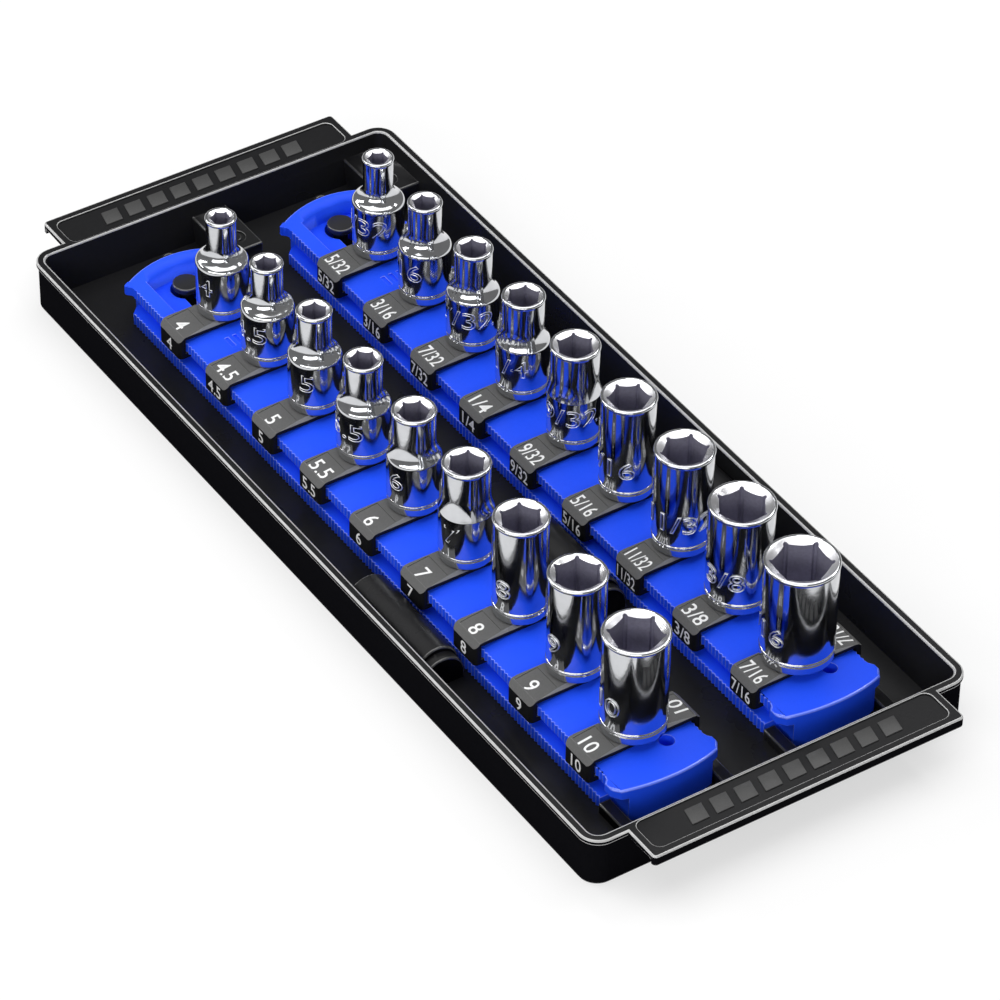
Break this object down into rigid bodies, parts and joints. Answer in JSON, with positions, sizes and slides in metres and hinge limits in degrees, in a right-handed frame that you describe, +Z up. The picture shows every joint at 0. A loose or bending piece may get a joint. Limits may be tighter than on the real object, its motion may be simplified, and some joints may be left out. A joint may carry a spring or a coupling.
{
  "type": "socket organizer tray",
  "caption": "Low open plastic tray with a pull lip at each end and two toothed rails of sliding, twist-lock clips, each holding a socket upright.",
  "frame": {"origin": "middle of the tray's underside", "axes": "+X across the tray towards the inch rail, +Y along it towards the far end, where the rails' keyholes are, +Z up"},
  "size_m": [0.0948, 0.246, 0.0384],
  "materials": {
    "black_gloss": "glossy moulded black plastic",
    "rail_blue": "smooth saturated blue plastic",
    "clip_grey": "finely stippled dark grey plastic",
    "post_black": "plain black plastic",
    "chrome": "polished chrome plate"
  },
  "bodies": {
    "tray": {"tray": "black_gloss", "metric_button": "black_gloss", "inch_button": "black_gloss"},
    "metric_rail": {"metric_rail": "rail_blue"},
    "inch_rail": {"inch_rail": "rail_blue"},
    "clip_m4": {"clip_m4": "clip_grey"},
    "post_m4": {"post_m4": "post_black"},
    "socket_m4": {"socket_m4": "chrome"},
    "clip_m4_5": {"clip_m4_5": "clip_grey"},
    "post_m4_5": {"post_m4_5": "post_black"},
    "socket_m4_5": {"socket_m4_5": "chrome"},
    "clip_m5": {"clip_m5": "clip_grey"},
    "post_m5": {"post_m5": "post_black"},
    "socket_m5": {"socket_m5": "chrome"},
    "clip_m5_5": {"clip_m5_5": "clip_grey"},
    "post_m5_5": {"post_m5_5": "post_black"},
    "socket_m5_5": {"socket_m5_5": "chrome"},
    "clip_m6": {"clip_m6": "clip_grey"},
    "post_m6": {"post_m6": "post_black"},
    "socket_m6": {"socket_m6": "chrome"},
    "clip_m7": {"clip_m7": "clip_grey"},
    "post_m7": {"post_m7": "post_black"},
    "socket_m7": {"socket_m7": "chrome"},
    "clip_m8": {"clip_m8": "clip_grey"},
    "post_m8": {"post_m8": "post_black"},
    "socket_m8": {"socket_m8": "chrome"},
    "clip_m9": {"clip_m9": "clip_grey"},
    "post_m9": {"post_m9": "post_black"},
    "socket_m9": {"socket_m9": "chrome"},
    "clip_m10": {"clip_m10": "clip_grey"},
    "post_m10": {"post_m10": "post_black"},
    "socket_m10": {"socket_m10": "chrome"},
    "clip_i5_32": {"clip_i5_32": "clip_grey"},
    "post_i5_32": {"post_i5_32": "post_black"},
    "socket_i5_32": {"socket_i5_32": "chrome"},
    "clip_i3_16": {"clip_i3_16": "clip_grey"},
    "post_i3_16": {"post_i3_16": "post_black"},
    "socket_i3_16": {"socket_i3_16": "chrome"},
    "clip_i7_32": {"clip_i7_32": "clip_grey"},
    "post_i7_32": {"post_i7_32": "post_black"},
    "socket_i7_32": {"socket_i7_32": "chrome"},
    "clip_i1_4": {"clip_i1_4": "clip_grey"},
    "post_i1_4": {"post_i1_4": "post_black"},
    "socket_i1_4": {"socket_i1_4": "chrome"},
    "clip_i9_32": {"clip_i9_32": "clip_grey"},
    "post_i9_32": {"post_i9_32": "post_black"},
    "socket_i9_32": {"socket_i9_32": "chrome"},
    "clip_i5_16": {"clip_i5_16": "clip_grey"},
    "post_i5_16": {"post_i5_16": "post_black"},
    "socket_i5_16": {"socket_i5_16": "chrome"},
    "clip_i11_32": {"clip_i11_32": "clip_grey"},
    "post_i11_32": {"post_i11_32": "post_black"},
    "socket_i11_32": {"socket_i11_32": "chrome"},
    "clip_i3_8": {"clip_i3_8": "clip_grey"},
    "post_i3_8": {"post_i3_8": "post_black"},
    "socket_i3_8": {"socket_i3_8": "chrome"},
    "clip_i7_16": {"clip_i7_16": "clip_grey"},
    "post_i7_16": {"post_i7_16": "post_black"},
    "socket_i7_16": {"socket_i7_16": "chrome"}
  },
  "joints": [
    {"name": "metric_rail_lift", "type": "slide", "parent": "tray", "child": "metric_rail", "axis": [0, 0, 1], "range_m": [0, 0.015]},
    {"name": "clip_m10_slide", "type": "slide", "parent": "metric_rail", "child": "clip_m10", "axis": [0, 1, 0], "range_m": [-0.0027, 0.0027]},
    {"name": "post_m10_twist", "type": "hinge", "parent": "clip_m10", "child": "post_m10", "pos_m": [-0.02034, -0.08874, 0.0133], "axis": [0, 0, 1], "range_deg": [0, 90]},
    {"name": "socket_m10_lift", "type": "slide", "parent": "post_m10", "child": "socket_m10", "axis": [0, 0, 1], "range_m": [0, 0.012]},
    {"name": "inch_rail_lift", "type": "slide", "parent": "tray", "child": "inch_rail", "axis": [0, 0, 1], "range_m": [0, 0.015]},
    {"name": "clip_i7_16_slide", "type": "slide", "parent": "inch_rail", "child": "clip_i7_16", "axis": [0, 1, 0], "range_m": [-0.0027, 0.0027]},
    {"name": "post_i7_16_twist", "type": "hinge", "parent": "clip_i7_16", "child": "post_i7_16", "pos_m": [0.0206, -0.08874, 0.0133], "axis": [0, 0, 1], "range_deg": [0, 90]},
    {"name": "socket_i7_16_lift", "type": "slide", "parent": "post_i7_16", "child": "socket_i7_16", "axis": [0, 0, 1], "range_m": [0, 0.012]},
    {"name": "clip_m4_slide", "type": "slide", "parent": "metric_rail", "child": "clip_m4", "axis": [0, 1, 0], "range_m": [-0.0027, 0.012]},
    {"name": "post_m4_twist", "type": "hinge", "parent": "clip_m4", "child": "post_m4", "pos_m": [-0.02034, 0.0737, 0.0133], "axis": [0, 0, 1], "range_deg": [0, 90]},
    {"name": "socket_m4_lift", "type": "slide", "parent": "post_m4", "child": "socket_m4", "axis": [0, 0, 1], "range_m": [0, 0.012]},
    {"name": "clip_i5_32_slide", "type": "slide", "parent": "inch_rail", "child": "clip_i5_32", "axis": [0, 1, 0], "range_m": [-0.0027, 0.012]},
    {"name": "post_i5_32_twist", "type": "hinge", "parent": "clip_i5_32", "child": "post_i5_32", "pos_m": [0.0206, 0.0737, 0.0133], "axis": [0, 0, 1], "range_deg": [0, 90]},
    {"name": "socket_i5_32_lift", "type": "slide", "parent": "post_i5_32", "child": "socket_i5_32", "axis": [0, 0, 1], "range_m": [0, 0.012]},
    {"name": "clip_m6_slide", "type": "slide", "parent": "metric_rail", "child": "clip_m6", "axis": [0, 1, 0], "range_m": [-0.0027, 0.0027]},
    {"name": "post_m6_twist", "type": "hinge", "parent": "clip_m6", "child": "post_m6", "pos_m": [-0.02034, -0.00552, 0.0133], "axis": [0, 0, 1], "range_deg": [0, 90]},
    {"name": "socket_m6_lift", "type": "slide", "parent": "post_m6", "child": "socket_m6", "axis": [0, 0, 1], "range_m": [0, 0.012]},
    {"name": "clip_i9_32_slide", "type": "slide", "parent": "inch_rail", "child": "clip_i9_32", "axis": [0, 1, 0], "range_m": [-0.0027, 0.0027]},
    {"name": "post_i9_32_twist", "type": "hinge", "parent": "clip_i9_32", "child": "post_i9_32", "pos_m": [0.0206, -0.00552, 0.0133], "axis": [0, 0, 1], "range_deg": [0, 90]},
    {"name": "socket_i9_32_lift", "type": "slide", "parent": "post_i9_32", "child": "socket_i9_32", "axis": [0, 0, 1], "range_m": [0, 0.012]},
    {"name": "clip_m4_5_slide", "type": "slide", "parent": "metric_rail", "child": "clip_m4_5", "axis": [0, 1, 0], "range_m": [-0.0027, 0.0027]},
    {"name": "post_m4_5_twist", "type": "hinge", "parent": "clip_m4_5", "child": "post_m4_5", "pos_m": [-0.02034, 0.05427, 0.0133], "axis": [0, 0, 1], "range_deg": [0, 90]},
    {"name": "socket_m4_5_lift", "type": "slide", "parent": "post_m4_5", "child": "socket_m4_5", "axis": [0, 0, 1], "range_m": [0, 0.012]},
    {"name": "clip_i3_16_slide", "type": "slide", "parent": "inch_rail", "child": "clip_i3_16", "axis": [0, 1, 0], "range_m": [-0.0027, 0.0027]},
    {"name": "post_i3_16_twist", "type": "hinge", "parent": "clip_i3_16", "child": "post_i3_16", "pos_m": [0.0206, 0.05427, 0.0133], "axis": [0, 0, 1], "range_deg": [0, 90]},
    {"name": "socket_i3_16_lift", "type": "slide", "parent": "post_i3_16", "child": "socket_i3_16", "axis": [0, 0, 1], "range_m": [0, 0.012]},
    {"name": "clip_m9_slide", "type": "slide", "parent": "metric_rail", "child": "clip_m9", "axis": [0, 1, 0], "range_m": [-0.0027, 0.0027]},
    {"name": "post_m9_twist", "type": "hinge", "parent": "clip_m9", "child": "post_m9", "pos_m": [-0.02034, -0.06756, 0.0133], "axis": [0, 0, 1], "range_deg": [0, 90]},
    {"name": "socket_m9_lift", "type": "slide", "parent": "post_m9", "child": "socket_m9", "axis": [0, 0, 1], "range_m": [0, 0.012]},
    {"name": "clip_i3_8_slide", "type": "slide", "parent": "inch_rail", "child": "clip_i3_8", "axis": [0, 1, 0], "range_m": [-0.0027, 0.0027]},
    {"name": "post_i3_8_twist", "type": "hinge", "parent": "clip_i3_8", "child": "post_i3_8", "pos_m": [0.0206, -0.06756, 0.0133], "axis": [0, 0, 1], "range_deg": [0, 90]},
    {"name": "socket_i3_8_lift", "type": "slide", "parent": "post_i3_8", "child": "socket_i3_8", "axis": [0, 0, 1], "range_m": [0, 0.012]},
    {"name": "clip_m5_slide", "type": "slide", "parent": "metric_rail", "child": "clip_m5", "axis": [0, 1, 0], "range_m": [-0.0027, 0.0027]},
    {"name": "post_m5_twist", "type": "hinge", "parent": "clip_m5", "child": "post_m5", "pos_m": [-0.02034, 0.03459, 0.0133], "axis": [0, 0, 1], "range_deg": [0, 90]},
    {"name": "socket_m5_lift", "type": "slide", "parent": "post_m5", "child": "socket_m5", "axis": [0, 0, 1], "range_m": [0, 0.012]},
    {"name": "clip_i7_32_slide", "type": "slide", "parent": "inch_rail", "child": "clip_i7_32", "axis": [0, 1, 0], "range_m": [-0.0027, 0.0027]},
    {"name": "post_i7_32_twist", "type": "hinge", "parent": "clip_i7_32", "child": "post_i7_32", "pos_m": [0.0206, 0.03459, 0.0133], "axis": [0, 0, 1], "range_deg": [0, 90]},
    {"name": "socket_i7_32_lift", "type": "slide", "parent": "post_i7_32", "child": "socket_i7_32", "axis": [0, 0, 1], "range_m": [0, 0.012]},
    {"name": "clip_m8_slide", "type": "slide", "parent": "metric_rail", "child": "clip_m8", "axis": [0, 1, 0], "range_m": [-0.0027, 0.0027]},
    {"name": "post_m8_twist", "type": "hinge", "parent": "clip_m8", "child": "post_m8", "pos_m": [-0.02034, -0.04663, 0.0133], "axis": [0, 0, 1], "range_deg": [0, 90]},
    {"name": "socket_m8_lift", "type": "slide", "parent": "post_m8", "child": "socket_m8", "axis": [0, 0, 1], "range_m": [0, 0.012]},
    {"name": "clip_i11_32_slide", "type": "slide", "parent": "inch_rail", "child": "clip_i11_32", "axis": [0, 1, 0], "range_m": [-0.0027, 0.0027]},
    {"name": "post_i11_32_twist", "type": "hinge", "parent": "clip_i11_32", "child": "post_i11_32", "pos_m": [0.0206, -0.04663, 0.0133], "axis": [0, 0, 1], "range_deg": [0, 90]},
    {"name": "socket_i11_32_lift", "type": "slide", "parent": "post_i11_32", "child": "socket_i11_32", "axis": [0, 0, 1], "range_m": [0, 0.012]},
    {"name": "clip_m5_5_slide", "type": "slide", "parent": "metric_rail", "child": "clip_m5_5", "axis": [0, 1, 0], "range_m": [-0.0027, 0.0027]},
    {"name": "post_m5_5_twist", "type": "hinge", "parent": "clip_m5_5", "child": "post_m5_5", "pos_m": [-0.02034, 0.01466, 0.0133], "axis": [0, 0, 1], "range_deg": [0, 90]},
    {"name": "socket_m5_5_lift", "type": "slide", "parent": "post_m5_5", "child": "socket_m5_5", "axis": [0, 0, 1], "range_m": [0, 0.012]},
    {"name": "clip_i1_4_slide", "type": "slide", "parent": "inch_rail", "child": "clip_i1_4", "axis": [0, 1, 0], "range_m": [-0.0027, 0.0027]},
    {"name": "post_i1_4_twist", "type": "hinge", "parent": "clip_i1_4", "child": "post_i1_4", "pos_m": [0.0206, 0.01466, 0.0133], "axis": [0, 0, 1], "range_deg": [0, 90]},
    {"name": "socket_i1_4_lift", "type": "slide", "parent": "post_i1_4", "child": "socket_i1_4", "axis": [0, 0, 1], "range_m": [0, 0.012]},
    {"name": "clip_m7_slide", "type": "slide", "parent": "metric_rail", "child": "clip_m7", "axis": [0, 1, 0], "range_m": [-0.0027, 0.0027]},
    {"name": "post_m7_twist", "type": "hinge", "parent": "clip_m7", "child": "post_m7", "pos_m": [-0.02034, -0.02595, 0.0133], "axis": [0, 0, 1], "range_deg": [0, 90]},
    {"name": "socket_m7_lift", "type": "slide", "parent": "post_m7", "child": "socket_m7", "axis": [0, 0, 1], "range_m": [0, 0.012]},
    {"name": "clip_i5_16_slide", "type": "slide", "parent": "inch_rail", "child": "clip_i5_16", "axis": [0, 1, 0], "range_m": [-0.0027, 0.0027]},
    {"name": "post_i5_16_twist", "type": "hinge", "parent": "clip_i5_16", "child": "post_i5_16", "pos_m": [0.0206, -0.02595, 0.0133], "axis": [0, 0, 1], "range_deg": [0, 90]},
    {"name": "socket_i5_16_lift", "type": "slide", "parent": "post_i5_16", "child": "socket_i5_16", "axis": [0, 0, 1], "range_m": [0, 0.012]}
  ]
}
